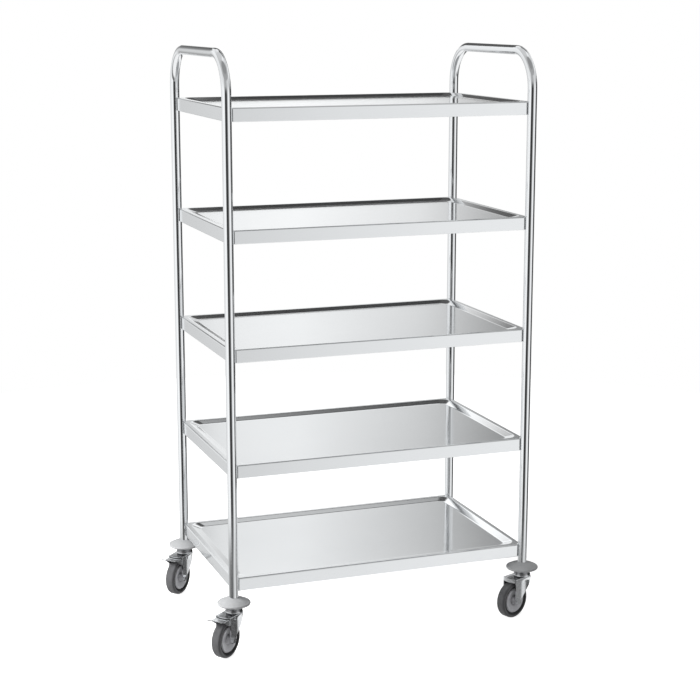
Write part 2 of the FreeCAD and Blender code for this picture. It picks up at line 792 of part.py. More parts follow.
def axle_bolt(corner):
    """Hexagon bolt through both legs and the sleeve, with its nut on the far side."""
    body = castor_body(corner, "axle_bolt", group=True)
    shank = axle_sketch(body, "shank_profile")
    bolt_end = fork_outer + d.axle_nut_height + d.axle_end
    draw_box(shank, -fork_outer, ZERO, bolt_end, axle_radius)
    revolve(body, f"{body.Label}_shank", shank, "H_Axis")
    head = sketch_on(body, f"{body.Label}_head_plan", "XZ_Plane", right=axle_x, up=axle_level, out=fork_outer)
    draw_hexagon(head, d.axle_head_width)
    extrude(body, f"{body.Label}_head", head, d.axle_head_height)
    nut = sketch_on(body, f"{body.Label}_nut_plan", "XZ_Plane", right=axle_x, up=axle_level,
                    out=-(fork_outer + d.axle_nut_height))
    draw_hexagon(nut, d.axle_head_width)
    draw_circle(nut, axle_radius + d.fixing_clearance)
    extrude(body, f"{body.Label}_nut", nut, d.axle_nut_height)


def tyre(corner):
    """Rubber tyre: flat tread, round shoulders and a groove in each side wall next to the hub."""
    outside = axle_level
    shoulder = d.tyre_shoulder
    groove = tread_half - d.tyre_groove_depth
    groove_top = tyre_bore + d.tyre_groove_width
    wall_foot = groove_top + d.tyre_groove_depth
    axle_piece(corner, "tyre", [
        (-groove, tyre_bore), (groove, tyre_bore), (groove, groove_top), (tread_half, wall_foot),
        (tread_half, outside - shoulder), (tread_half - shoulder, outside, shoulder, 1),
        (shoulder - tread_half, outside), (-tread_half, outside - shoulder, shoulder, 1),
        (-tread_half, wall_foot), (-groove, groove_top)])


def hub(corner):
    """Moulded wheel centre: boss, dished face and a recessed band under the tyre."""
    bore = d.sleeve_diameter / 2 + d.running_clearance
    boss_radius = d.hub_boss_diameter / 2
    face = tread_half - d.hub_face_inset
    dish = face - d.hub_dish
    face_radius = tyre_bore - d.hub_step
    ring_radius = face_radius - d.hub_ring
    band = d.hub_band_width / 2
    outside = tyre_bore - d.bond_clearance
    axle_piece(corner, "hub", [
        (-boss_half, bore), (boss_half, bore), (boss_half, boss_radius), (dish, boss_radius),
        (face, ring_radius), (face, face_radius), (band, face_radius), (band, outside),
        (-band, outside), (-band, face_radius), (-face, face_radius), (-face, ring_radius),
        (-dish, boss_radius), (-boss_half, boss_radius)])


def brake_pedal(corner):
    """Pressed pedal: a channel over the tyre whose cheeks hang on the pin, with a flared toe lip."""
    body = castor_body(corner, "brake_pedal")
    half = fork_inner - d.pedal_side_clearance
    front = brake_pin_x + pedal_ear
    bend = d.pedal_lip_length - d.pedal_reach
    tip = -d.pedal_reach
    cheek_foot = pedal_underside - d.pedal_cheek_depth
    channel = upright_sketch(body, "channel_profile")
    draw(channel, [(front, brake_pin_level - pedal_ear), (front, pedal_top), (bend, pedal_top),
                   (bend, pedal_underside), (-d.pedal_cheek_back, cheek_foot),
                   (-d.pedal_cheek_front, cheek_foot)])
    extrude(body, f"{body.Label}_channel", channel, half * 2, both_ways=True)
    top = pedal_top.value
    side = half.value
    round_edges(body, f"{body.Label}_bends", d.pedal_edge_radius,
                lambda edge: edge.BoundBox.ZMin > top - TINY
                and min(abs(edge.BoundBox.YMin), abs(edge.BoundBox.YMax)) > side - TINY
                and edge.BoundBox.YLength < TINY)
    between = upright_sketch(body, "between_profile")
    draw_box(between, tip, cheek_foot - d.pedal_sheet, front + d.pedal_sheet, pedal_underside)
    extrude(body, f"{body.Label}_between", between, (half - d.pedal_sheet) * 2, "Pocket", both_ways=True)
    lip = upright_sketch(body, "lip_profile")
    draw(lip, [(bend, pedal_underside), (bend, pedal_top), (tip, pedal_top + d.pedal_lip_rise),
               (tip, pedal_underside + d.pedal_lip_rise)])
    extrude(body, f"{body.Label}_lip", lip, d.pedal_lip_width, both_ways=True)
    hole = upright_sketch(body, "hole")
    draw_circle(hole, brake_pin_radius + d.running_clearance, brake_pin_x, brake_pin_level)
    extrude(body, f"{body.Label}_drilled", hole, d.pedal_lip_width, "Pocket", both_ways=True)


def brake_shoe(corner):
    body = castor_body(corner, "brake_shoe")
    block = upright_sketch(body, "profile")
    draw_box(block, -(d.shoe_back + d.shoe_length), shoe_underside, -d.shoe_back, pedal_underside)
    extrude(body, f"{body.Label}_block", block, d.shoe_width, both_ways=True)


def brake_pin(corner):
    body = castor_body(corner, "brake_pin")
    profile = sketch_on(body, f"{body.Label}_profile", "YZ_Plane", up=brake_pin_level, out=brake_pin_x)
    head = fork_outer + d.brake_pin_end
    head_radius = brake_pin_radius + d.brake_pin_head_overhang
    draw(profile, [(-head, ZERO), (head, ZERO), (head, head_radius), (fork_outer, head_radius),
                   (fork_outer, brake_pin_radius), (-fork_outer, brake_pin_radius),
                   (-fork_outer, head_radius), (-head, head_radius)])
    revolve(body, f"{body.Label}_turned", profile, "H_Axis")


corners = (
    SimpleNamespace(name="front_left", x=-half_x, y=-half_y, turn=d.front_left_turn, braked=True),
    SimpleNamespace(name="back_left", x=-half_x, y=half_y, turn=d.back_left_turn, braked=True),
    SimpleNamespace(name="front_right", x=half_x, y=-half_y, turn=d.front_right_turn, braked=False),
    SimpleNamespace(name="back_right", x=half_x, y=half_y, turn=d.back_right_turn, braked=False),
)
castor_pieces = (tube_plug, bumper, castor_stem, top_cup, swivel_balls, fork,
                 axle_sleeve, axle_bolt, tyre, hub)
brake_pieces = (brake_pedal, brake_shoe, brake_pin)
for corner in corners:
    for make in castor_pieces:
        make(corner)
    if corner.braked:
        for make in brake_pieces:
            make(corner)


# Build, test and write the pieces

doc.recompute()
for item in doc.Objects:
    if "Invalid" in item.State or "Error" in item.State:
        raise RuntimeError(f"{item.Name}: {item.getStatusString()}")
for body in subparts:
    if body.Shape.isNull() or not body.Shape.isValid():
        raise RuntimeError(f"{body.Label}: no valid shape")
os.makedirs("parts", exist_ok=True)
for body in subparts:
    body.Shape.exportStep(f"parts/{body.Label}.step")
    print(body.Label, len(body.Shape.Solids), round(body.Shape.Volume))
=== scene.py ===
import json
import math
import bpy
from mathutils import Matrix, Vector


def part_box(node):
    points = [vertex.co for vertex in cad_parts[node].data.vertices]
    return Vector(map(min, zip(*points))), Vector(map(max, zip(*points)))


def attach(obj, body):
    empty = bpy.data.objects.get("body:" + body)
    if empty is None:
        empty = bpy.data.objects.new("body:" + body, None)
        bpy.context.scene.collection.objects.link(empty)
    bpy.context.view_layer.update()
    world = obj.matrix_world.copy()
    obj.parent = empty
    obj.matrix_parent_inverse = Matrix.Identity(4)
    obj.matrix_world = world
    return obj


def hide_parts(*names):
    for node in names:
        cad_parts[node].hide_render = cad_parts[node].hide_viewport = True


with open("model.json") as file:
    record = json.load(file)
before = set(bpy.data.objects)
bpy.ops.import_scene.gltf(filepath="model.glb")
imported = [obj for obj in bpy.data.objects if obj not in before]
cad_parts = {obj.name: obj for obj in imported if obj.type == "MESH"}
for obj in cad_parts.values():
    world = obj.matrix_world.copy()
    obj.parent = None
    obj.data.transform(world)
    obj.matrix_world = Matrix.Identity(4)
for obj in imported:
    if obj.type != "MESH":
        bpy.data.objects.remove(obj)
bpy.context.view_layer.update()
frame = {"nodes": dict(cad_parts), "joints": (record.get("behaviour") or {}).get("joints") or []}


# End frames
# Each end is one length of 25 mm stainless tube, bent into two legs and a hoop handle, then
# polished along its length to a mirror finish with very fine lengthwise lines.

NOISE_LOW = 0.3
NOISE_HIGH = 0.7
NOISE_ROUGHNESS = 0.55


def new_material(name):
    material = bpy.data.materials.new(name)
    material.use_nodes = True
    tree = material.node_tree
    return material, tree, tree.nodes["Principled BSDF"]


def add_node(tree, kind, inputs=(), **settings):
    node = tree.nodes.new(kind)
    for setting, value in settings.items():
        setattr(node, setting, value)
    for socket, value in dict(inputs).items():
        node.inputs[socket].default_value = value
    return node


def object_pattern(tree, stretch=(1, 1, 1)):
    """Object coordinates, stretched so that a pattern runs along a piece."""
    place = tree.nodes.new("ShaderNodeTexCoord")
    mapping = add_node(tree, "ShaderNodeMapping", {"Scale": stretch})
    tree.links.new(place.outputs["Object"], mapping.inputs["Vector"])
    return mapping.outputs["Vector"]


def noise(tree, vector, fineness, detail=4.0):
    inputs = {"Scale": fineness, "Detail": detail, "Roughness": NOISE_ROUGHNESS}
    texture = add_node(tree, "ShaderNodeTexNoise", inputs)
    tree.links.new(vector, texture.inputs["Vector"])
    return texture.outputs["Fac"]


def spread(tree, value, low, high):
    """Spread a pattern over a range of levels."""
    inputs = {"From Min": NOISE_LOW, "From Max": NOISE_HIGH, "To Min": low, "To Max": high}
    ranged = add_node(tree, "ShaderNodeMapRange", inputs)
    tree.links.new(value, ranged.inputs["Value"])
    return ranged.outputs["Result"]


def graded(tree, value, grades):
    """Colours along a value, from position and colour."""
    ramp = tree.nodes.new("ShaderNodeValToRGB")
    stops = ramp.color_ramp.elements
    stops.remove(stops[1])
    for number, (position, colour) in enumerate(grades):
        stop = stops[0] if number == 0 else stops.new(position)
        stop.position = position
        stop.color = (*colour, 1)
    tree.links.new(value, ramp.inputs["Fac"])
    return ramp.outputs["Color"]


def two_tone(tree, value, dark, light):
    return graded(tree, value, ((NOISE_LOW, dark), (NOISE_HIGH, light)))


def bare_metal(name, stretch, fineness, dark, light, roughness):
    """Metal with one fine pattern in its colour and its gloss."""
    material, tree, shader = new_material(name)
    shader.inputs["Metallic"].default_value = 1.0
    pattern = noise(tree, object_pattern(tree, stretch), fineness)
    tree.links.new(two_tone(tree, pattern, dark, light), shader.inputs["Base Color"])
    tree.links.new(spread(tree, pattern, *roughness), shader.inputs["Roughness"])
    return material


def dress(node_name, material):
    node = frame["nodes"][node_name]
    node.data.materials.clear()
    node.data.materials.append(material)


polished_tube = bare_metal("polished_tube", stretch=(1, 1, 0.02), fineness=900, dark=(0.85, 0.862, 0.875),
                           light=(0.90, 0.91, 0.92), roughness=(0.05, 0.10))
for side in ("left", "right"):
    dress(f"{side}_end_frame", polished_tube)


# Trays
# Five trays pressed from 1 mm stainless sheet: a broad flat rim with rolled edges, sloped sides and a
# flat floor. The sheet has a bright finish with a faint grain along its length.

GRAIN_STRETCH = (0.03, 1, 1)
GRAIN_FINENESS = 1400
CLOUD_FINENESS = 3.0
SHEET_DARK = (0.85, 0.862, 0.872)
SHEET_LIGHT = (0.88, 0.89, 0.90)
SHEET_ROUGHNESS = (0.07, 0.13)
TRAYS = 5

tray_steel, tree, shader = new_material("tray_steel")
shader.inputs["Metallic"].default_value = 1.0
grain = noise(tree, object_pattern(tree, GRAIN_STRETCH), GRAIN_FINENESS)
cloud = noise(tree, object_pattern(tree), CLOUD_FINENESS)
tree.links.new(two_tone(tree, cloud, SHEET_DARK, SHEET_LIGHT), shader.inputs["Base Color"])
tree.links.new(spread(tree, grain, *SHEET_ROUGHNESS), shader.inputs["Roughness"])

# The rolled outer edge and the corner notches stay. Inside them the flat and the slope are widened.
RIM_ROLL = 0.0045
NOTCH_ROLL = 0.019
RIM_FLAT = 0.007
TRAY_DEPTH = 0.007
PAN_HEIGHT = 0.0095
RIM_WIDENING = 0.0075
SLOPE_WIDENING = 0.015
MERGE_DISTANCE = 0.00001
BEND_ANGLE = math.radians(30)


def pressed_copy(node_name, name):
    """A copy of a solid's mesh as a piece of its own, merged and ready to be pressed."""
    bpy.ops.object.select_all(action="DESELECT")
    piece = bpy.data.objects.new(name, frame["nodes"][node_name].data.copy())
    bpy.context.scene.collection.objects.link(piece)
    bpy.context.view_layer.objects.active = piece
    piece.select_set(True)
    bpy.ops.object.mode_set(mode="EDIT")
    bpy.ops.mesh.select_all(action="SELECT")
    bpy.ops.mesh.remove_doubles(threshold=MERGE_DISTANCE)
    bpy.ops.object.mode_set(mode="OBJECT")
    return piece


def smooth_pressing(piece, material):
    """Round the shading over the bends and keep the flats flat."""
    bpy.ops.mesh.customdata_custom_splitnormals_clear()
    bpy.ops.object.shade_smooth_by_angle(angle=BEND_ANGLE)
    flats = piece.modifiers.new("flats", "WEIGHTED_NORMAL")
    flats.keep_sharp = True
    bpy.ops.object.modifier_apply(modifier=flats.name)
    piece.data.materials.clear()
    piece.data.materials.append(material)


def widen_rim(piece, high):
    """Set the well's edge and, further still, its foot in from the tray's sides."""
    for vertex in piece.data.vertices:
        depth = high.z - vertex.co.z
        from_end = high.x - abs(vertex.co.x)
        from_side = high.y - abs(vertex.co.y)
        in_pan = min(from_end, from_side) > RIM_ROLL and math.hypot(from_end, from_side) > NOTCH_ROLL
        if in_pan and depth < PAN_HEIGHT:
            inward = RIM_WIDENING + SLOPE_WIDENING * min(depth / TRAY_DEPTH, 1)
            vertex.co.x *= 1 - inward / (high.x - RIM_FLAT)
            vertex.co.y *= 1 - inward / (high.y - RIM_FLAT)


for number in range(1, TRAYS + 1):
    tray = pressed_copy(f"tray_{number}", f"pressed_tray_{number}")
    widen_rim(tray, Vector(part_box(f"tray_{number}")[1]))
    smooth_pressing(tray, tray_steel)
    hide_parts(f"tray_{number}")
    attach(tray, "trolley")


# Tray fixings
# Socket screws driven outwards from inside each rim, on saddle washers, into rivet nuts in the legs.
# All are plain turned steel, so they are duller than the sheet around them.

fixing_steel = bare_metal("fixing_steel", stretch=(1, 1, 1), fineness=700, dark=(0.52, 0.53, 0.55),
                          light=(0.66, 0.67, 0.69), roughness=(0.24, 0.38))
for name in ("tray_screws", "saddle_washers", "rivet_nuts"):
    dress(name, fixing_steel)


# Leg feet
# A black nylon plug is driven into each leg, and a soft light-grey disc is clamped under it, so that
# the trolley marks no walls. The castor's steel stem runs up through both.

CORNERS = ("front_left", "back_left", "front_right", "back_right")
NYLON_FINENESS = 500
NYLON_DARK = (0.02, 0.02, 0.022)
NYLON_LIGHT = (0.04, 0.04, 0.042)
NYLON_ROUGHNESS = 0.5
BUMPER_FINENESS = 260
BUMPER_DARK = (0.30, 0.305, 0.31)
BUMPER_LIGHT = (0.355, 0.36, 0.365)
BUMPER_ROUGHNESS = (0.42, 0.55)
BUMPER_GRAIN = {"depth": 0.0002, "strength": 0.3}


def bump(tree, shader, height, depth, strength):
    lift = add_node(tree, "ShaderNodeBump", {"Strength": strength, "Distance": depth})
    tree.links.new(height, lift.inputs["Height"])
    tree.links.new(lift.outputs["Normal"], shader.inputs["Normal"])


plug_nylon, tree, shader = new_material("plug_nylon")
speckle = noise(tree, object_pattern(tree), NYLON_FINENESS)
tree.links.new(two_tone(tree, speckle, NYLON_DARK, NYLON_LIGHT), shader.inputs["Base Color"])
shader.inputs["Roughness"].default_value = NYLON_ROUGHNESS

bumper_grey, tree, shader = new_material("bumper_grey")
moulding = noise(tree, object_pattern(tree), BUMPER_FINENESS)
tree.links.new(two_tone(tree, moulding, BUMPER_DARK, BUMPER_LIGHT), shader.inputs["Base Color"])
tree.links.new(spread(tree, moulding, *BUMPER_ROUGHNESS), shader.inputs["Roughness"])
bump(tree, shader, moulding, **BUMPER_GRAIN)
for corner in CORNERS:
    dress(f"{corner}_tube_plug", plug_nylon)
    dress(f"{corner}_bumper", bumper_grey)
    dress(f"{corner}_stem", fixing_steel)


# Castor swivels and brakes
# The swivel cups are coloured a dark mottled grey steel, a painted shade for the shadow under the bumper.
# The pedals, bolts and pins have a bright zinc plate, with a faint mottle and a little rougher than the
# stainless tube.

BRAKED = ("front_left", "back_left")
PAINTED_SHADE_FINENESS = 180
PLATE_FINENESS = 220
PLATE_DARK = (0.74, 0.75, 0.765)
PLATE_LIGHT = (0.84, 0.85, 0.86)
PLATE_ROUGHNESS = (0.09, 0.17)

# The swivel cups' dark steel is a painted shade for the shadow under the bumper, not their own colour.
race_painted_shade = bare_metal("race_painted_shade", stretch=(1, 1, 1), fineness=PAINTED_SHADE_FINENESS, dark=(0.22, 0.222, 0.23),
                        light=(0.36, 0.365, 0.375), roughness=(0.16, 0.28))
plated_steel = bare_metal("plated_steel", stretch=(1, 1, 1), fineness=PLATE_FINENESS, dark=PLATE_DARK,
                          light=PLATE_LIGHT, roughness=PLATE_ROUGHNESS)
for corner in CORNERS:
    dress(f"{corner}_top_cup", race_painted_shade)
    dress(f"{corner}_axle_bolt", plated_steel)
    for piece in ("swivel_balls", "axle_sleeve"):
        dress(f"{corner}_{piece}", fixing_steel)
for corner in BRAKED:
    for piece in ("brake_pedal", "brake_pin"):
        dress(f"{corner}_{piece}", plated_steel)
    dress(f"{corner}_brake_shoe", fixing_steel)


# Castor forks
# Each fork is pressed from one plated sheet. Below the round crown its two cheeks are drawn in towards
# the nose, so that they run flat beside the axle and then curve to the front. The domed race on
# top is coloured a dark mottled grey, a painted shade for the shadow under the bumper.

CROWN_TOP = 0.1145
# Above the crown's top the plate turns dark grey: a painted shade under the bumper, with its start and
# shades.
PAINTED_SHADE_EDGE = 0.002
PAINTED_SHADE_DARK = (0.20, 0.20, 0.205)
PAINTED_SHADE_LIGHT = (0.34, 0.34, 0.35)


def mixed(tree, factor, first, second):
    """One colour turning into another, where each is a socket or a plain colour."""
    mix = add_node(tree, "ShaderNodeMix", data_type="RGBA")
    tree.links.new(factor, mix.inputs["Factor"])
    for socket, colour in (("A", first), ("B", second)):
        if isinstance(colour, tuple):
            mix.inputs[socket].default_value = colour
        else:
            tree.links.new(colour, mix.inputs[socket])
    return mix.outputs["Result"]


def height_step(tree, vector, low, high, start=0.0, end=1.0):
    """A level that goes from start to end between two heights."""
    split = tree.nodes.new("ShaderNodeSeparateXYZ")
    tree.links.new(vector, split.inputs[0])
    inputs = {"From Min": low, "From Max": high, "To Min": start, "To Max": end}
    step = add_node(tree, "ShaderNodeMapRange", inputs)
    tree.links.new(split.outputs["Z"], step.inputs["Value"])
    return step.outputs["Result"]


fork_plate, tree, shader = new_material("fork_plate")
shader.inputs["Metallic"].default_value = 1.0
mottle = noise(tree, object_pattern(tree), PLATE_FINENESS)
plate = two_tone(tree, mottle, PLATE_DARK, PLATE_LIGHT)
# Above the crown's top the plate's colour turns to a dark mottle, a painted shade for the shadow under the
# bumper.
crown_painted_shade = two_tone(tree, noise(tree, object_pattern(tree), PAINTED_SHADE_FINENESS), PAINTED_SHADE_DARK, PAINTED_SHADE_LIGHT)
painted_shade_mask = height_step(tree, object_pattern(tree), CROWN_TOP, CROWN_TOP + PAINTED_SHADE_EDGE)
tree.links.new(mixed(tree, painted_shade_mask, plate, crown_painted_shade), shader.inputs["Base Color"])
tree.links.new(spread(tree, mottle, *PLATE_ROUGHNESS), shader.inputs["Roughness"])

# Where the cheeks start to bend, from the stem's axis, and how far they are drawn in and forward.
CHEEK_BEND = -0.031
CHEEK_DRAW = 0.20
CHEEK_STRETCH = 0.006
STRETCH_LIMIT = 1.6
CHEEK_CUTS = 12
CUTS_REACH = 1.4
CROWN_FOOT = 0.1105
CHEEK_TOP = 0.0985
CROWN_CUTS = 5


def joint_named(name):
    return next(joint for joint in frame["joints"] if joint["name"] == name)


def castor_axes(corner):
    """The stem's place, and the directions ahead and to the side of a castor."""
    side = Vector(joint_named(f"{corner}_roll")["axis"])
    stem = Vector(joint_named(f"{corner}_swivel")["pos_m"])
    return stem, Vector((side.y, -side.x, 0)), side


def cut_across(place, direction):
    bpy.ops.mesh.select_all(action="SELECT")
    bpy.ops.mesh.bisect(plane_co=place, plane_no=direction)


def draw_in_cheeks(piece, stem, ahead, side):
    """Narrow the fork ahead of its bend, more towards the nose and not at the crown."""
    for vertex in piece.data.vertices:
        reach = (vertex.co - stem).dot(ahead)
        across = (vertex.co - stem).dot(side)
        bent = min(max((CROWN_FOOT - vertex.co.z) / (CROWN_FOOT - CHEEK_TOP), 0), 1)
        share = max(reach / -CHEEK_BEND + 1, 0)
        curve = share * share if share < 1 else 2 * share - 1
        drawn = curve * bent * bent * (3 - 2 * bent)
        vertex.co += ahead * CHEEK_STRETCH * min(drawn, STRETCH_LIMIT) - side * across * CHEEK_DRAW * drawn


for corner in CORNERS:
    stem, ahead, side = castor_axes(corner)
    fork = pressed_copy(f"{corner}_fork", f"{corner}_pressed_fork")
    bpy.ops.object.mode_set(mode="EDIT")
    for number in range(CHEEK_CUTS):
        cut_across(stem + ahead * CHEEK_BEND * (1 - number / CHEEK_CUTS * CUTS_REACH), ahead)
    for number in range(CROWN_CUTS + 1):
        cut_across((0, 0, CHEEK_TOP + (CROWN_FOOT - CHEEK_TOP) * number / CROWN_CUTS), (0, 0, 1))
    bpy.ops.object.mode_set(mode="OBJECT")
    draw_in_cheeks(fork, stem, ahead, side)
    smooth_pressing(fork, fork_plate)
    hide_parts(f"{corner}_fork")
    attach(fork, f"{corner}_castor")


# Wheels
# A dark grey non-marking rubber tyre moulded on a grey plastic centre, which turns on a steel sleeve.
# The rubber is matt with a fine dusty grain, the plastic a little smoother.

WHEEL_RADIUS = 0.05
COOL_TINT = (1, 1, 1.04)
WEAR_DETAIL = 6.0

# The rings are radius and level. Wear and grain each have a fineness and the range of their shades.
# The tyre's rings are partly painted light: near black inside 42 mm is a painted shade in the side recess,
# and the lighter ring at 43 to 44.5 mm is a painted highlight on the shoulder; the tread is a little
# lighter.
TYRE_LOOK = {
    "rings": ((0.0420, 0.010), (0.0430, 0.13), (0.0445, 0.11), (0.0475, 0.055), (0.0494, 0.055),
              (0.05, 0.075)),
    "wear": 60, "wear_shades": (0.82, 1.22),
    "grain": 420, "grain_shades": (0.9, 1.1),
    "roughness": (0.5, 0.7),
    "bump": {"depth": 0.0002, "strength": 0.3},
}
# The hub's rings make it darker round the bolt and towards its rim.
HUB_LOOK = {
    "rings": ((0.006, 0.30), (0.011, 0.44), (0.014, 0.36), (0.018, 0.54), (0.032, 0.60), (0.036, 0.46)),
    "wear": 45, "wear_shades": (0.86, 1.12),
    "grain": 160, "grain_shades": (0.95, 1.05),
    "roughness": (0.36, 0.52),
    "bump": {"depth": 0.0001, "strength": 0.25},
}


def wheel_pattern(tree, corner):
    """Coordinates of one wheel, from its axle: X ahead, Y along the axle."""
    roll = joint_named(f"{corner}_roll")
    turn = math.atan2(-roll["axis"][0], roll["axis"][1])
    place = tree.nodes.new("ShaderNodeTexCoord")
    mapping = add_node(tree, "ShaderNodeMapping", {"Location": roll["pos_m"], "Rotation": (0, 0, turn)},
                       vector_type="TEXTURE")
    tree.links.new(place.outputs["Object"], mapping.inputs["Vector"])
    return mapping.outputs["Vector"]


def axle_distance(tree, vector):
    """How far a point is from the axle, as a share of the wheel's radius."""
    flat = add_node(tree, "ShaderNodeVectorMath", operation="MULTIPLY")
    flat.inputs[1].default_value = (1 / WHEEL_RADIUS, 0, 1 / WHEEL_RADIUS)
    tree.links.new(vector, flat.inputs[0])
    length = add_node(tree, "ShaderNodeVectorMath", operation="LENGTH")
    tree.links.new(flat.outputs[0], length.inputs[0])
    return length.outputs["Value"]


def shaded(tree, colour, pattern, low, high):
    """A colour made lighter and darker by a pattern."""
    mix = add_node(tree, "ShaderNodeVectorMath", operation="SCALE")
    tree.links.new(colour, mix.inputs[0])
    tree.links.new(spread(tree, pattern, low, high), mix.inputs["Scale"])
    return mix.outputs[0]


def tinted(level, tint):
    return [level * share for share in tint]


def wheel_finish(name, corner, look):
    """Colour in rings round one wheel's axle, with wear and a fine grain; on the tyre some rings are
    painted shade and a painted highlight.
    """
    material, tree, shader = new_material(name)
    wheel = wheel_pattern(tree, corner)
    grades = [(radius / WHEEL_RADIUS, tinted(level, COOL_TINT)) for radius, level in look["rings"]]
    rings = graded(tree, axle_distance(tree, wheel), grades)
    wear = noise(tree, wheel, look["wear"], detail=WEAR_DETAIL)
    grain = noise(tree, wheel, look["grain"])
    worn = shaded(tree, rings, wear, *look["wear_shades"])
    tree.links.new(shaded(tree, worn, grain, *look["grain_shades"]), shader.inputs["Base Color"])
    tree.links.new(spread(tree, grain, *look["roughness"]), shader.inputs["Roughness"])
    bump(tree, shader, grain, **look["bump"])
    return material


for corner in CORNERS:
    dress(f"{corner}_tyre", wheel_finish(f"{corner}_tyre_rubber", corner, TYRE_LOOK))
    dress(f"{corner}_hub", wheel_finish(f"{corner}_hub_plastic", corner, HUB_LOOK))


# Studio
# A white floor that keeps the shadow, a white surround with the light and dark sides that polished
# steel mirrors, a dark card high at the back, and soft lamps overhead and to the left.

FLOOR_RADIUS = 3.0
FLOOR_SIDES = 96
FLOOR_PAPER = (0.6, 0.6, 0.6, 1)
FLOOR_GLOW = (0.84, 0.84, 0.84, 1)

bpy.ops.object.select_all(action="DESELECT")
bpy.ops.mesh.primitive_circle_add(vertices=FLOOR_SIDES, radius=FLOOR_RADIUS, fill_type="NGON")
floor = bpy.context.object
floor.name = "floor"
floor_white, tree, shader = new_material("floor_white")
tree.nodes.remove(shader)
paper = add_node(tree, "ShaderNodeBsdfDiffuse", {"Color": FLOOR_PAPER})
glow = add_node(tree, "ShaderNodeEmission", {"Color": FLOOR_GLOW})
clear = tree.nodes.new("ShaderNodeBsdfTransparent")
lit = tree.nodes.new("ShaderNodeAddShader")
shown = tree.nodes.new("ShaderNodeMixShader")
ray = tree.nodes.new("ShaderNodeLightPath")
tree.links.new(ray.outputs["Is Camera Ray"], glow.inputs["Strength"])
tree.links.new(paper.outputs[0], lit.inputs[0])
tree.links.new(glow.outputs[0], lit.inputs[1])
tree.links.new(ray.outputs["Is Glossy Ray"], shown.inputs["Fac"])
tree.links.new(lit.outputs[0], shown.inputs[1])
tree.links.new(clear.outputs[0], shown.inputs[2])
tree.links.new(shown.outputs[0], tree.nodes["Material Output"].inputs["Surface"])
floor.data.materials.append(floor_white)

# What polished steel sees round the trolley: degrees from the front towards the right, and level.
LEFT_AND_FRONT = ((-180, 0.40), (-175, 0.38), (-170, 0.45), (-166, 0.68), (-162, 0.80), (-156, 0.95),
                  (-140, 0.80), (-95, 1.05), (-62, 1.05), (-54, 0.80), (-47, 0.05), (-8, 0.04), (4, 0.26),
                  (13, 0.64), (20, 0.86), (26, 0.94), (42, 1.05), (56, 0.95))
RIGHT_WALL = ((68, 0.16), (78, 0.07), (128, 0.07), (148, 0.20), (154, 0.38), (155.5, 0.58), (157, 0.86),
              (162, 1.05), (168, 0.85), (180, 0.40))
FLOOR = ((-180, 0.40), (-166, 0.72), (-160, 0.80), (-140, 0.50), (-118, 0.34), (-95, 0.22), (-80, 0.15),
         (-40, 0.14), (-25, 0.30), (-10, 0.50), (4, 0.66), (13, 0.84), (26, 0.92), (34, 0.56), (46, 0.38),
         (64, 0.26), (74, 0.24), (79, 0.90), (89, 0.90), (92, 0.10), (106, 0.08), (110, 0.98), (138, 0.98),
         (143, 0.06), (162, 0.06), (170, 0.60), (180, 0.40))
HIGH = ((-180, 0.10), (-174, 0.14), (-168, 0.22), (-164, 0.90), (-160, 1.05), (-140, 0.95), (-60, 0.80),
        (-46, 0.45), (-10, 0.45), (20, 0.70), (40, 0.75), (66, 0.60), (90, 0.95), (140, 0.95), (146, 0.12),
        (150, 0.12), (154, 0.22), (155.5, 0.42), (157, 0.55), (158.5, 0.66), (162, 0.92), (164.5, 0.85),
        (167, 0.25), (170, 0.12), (180, 0.10))
LIGHT = ((-180, 0.92), (-140, 0.95), (-60, 0.80), (-46, 0.45), (-10, 0.45), (20, 0.70), (40, 0.75),
         (66, 0.60), (90, 0.95), (140, 0.95), (160, 1.1), (167, 1.2), (174, 1.2), (178, 0.95), (180, 0.92))
SKY = ((-180, 0.90), (-140, 0.62), (-90, 0.62), (-60, 0.40), (60, 0.40), (90, 0.62), (120, 0.62),
       (134, 0.05), (160, 0.05), (165, 1.0), (180, 0.90))
ZENITH = ((-180, 0.66), (-120, 0.66), (-70, 0.30), (72, 0.30), (100, 0.85), (128, 1.0), (140, 0.75),
          (150, 0.66), (180, 0.66))
DAYLIGHT = (0.985, 0.995, 1.0)
WHITE = (1, 1, 1, 1)
AMBIENT = (0.42, 0.42, 0.425, 1)

# Where one ring of the surround turns into the next, as the upward part of a direction.
FLOOR_EDGE = (-0.302, -0.325)
UNDERFOOT_EDGE = (-0.45, -0.60)
HIGH_EDGE = (0.08, 0.31)
LIGHT_EDGE = (0.34, 0.36)
SKY_EDGE = (0.53, 0.57)
ZENITH_EDGE = (0.74, 0.79)

world = bpy.data.worlds.new("surround")
bpy.context.scene.world = world
world.use_nodes = True
tree = world.node_tree
direction = tree.nodes.new("ShaderNodeTexCoord").outputs["Generated"]
split = tree.nodes.new("ShaderNodeSeparateXYZ")
tree.links.new(direction, split.inputs[0])
forward = add_node(tree, "ShaderNodeMath", operation="MULTIPLY")
forward.inputs[1].default_value = -1.0
tree.links.new(split.outputs["Y"], forward.inputs[0])
azimuth = add_node(tree, "ShaderNodeMath", operation="ARCTAN2")
tree.links.new(split.outputs["X"], azimuth.inputs[0])
tree.links.new(forward.outputs[0], azimuth.inputs[1])
turned = add_node(tree, "ShaderNodeMapRange", {"From Min": -math.pi, "From Max": math.pi})
tree.links.new(azimuth.outputs[0], turned.inputs["Value"])


def band(levels):
    """A ring of grey levels round the trolley."""
    grades = [((degrees + 180) / 360, tinted(level, DAYLIGHT)) for degrees, level in levels]
    return graded(tree, turned.outputs["Result"], grades)


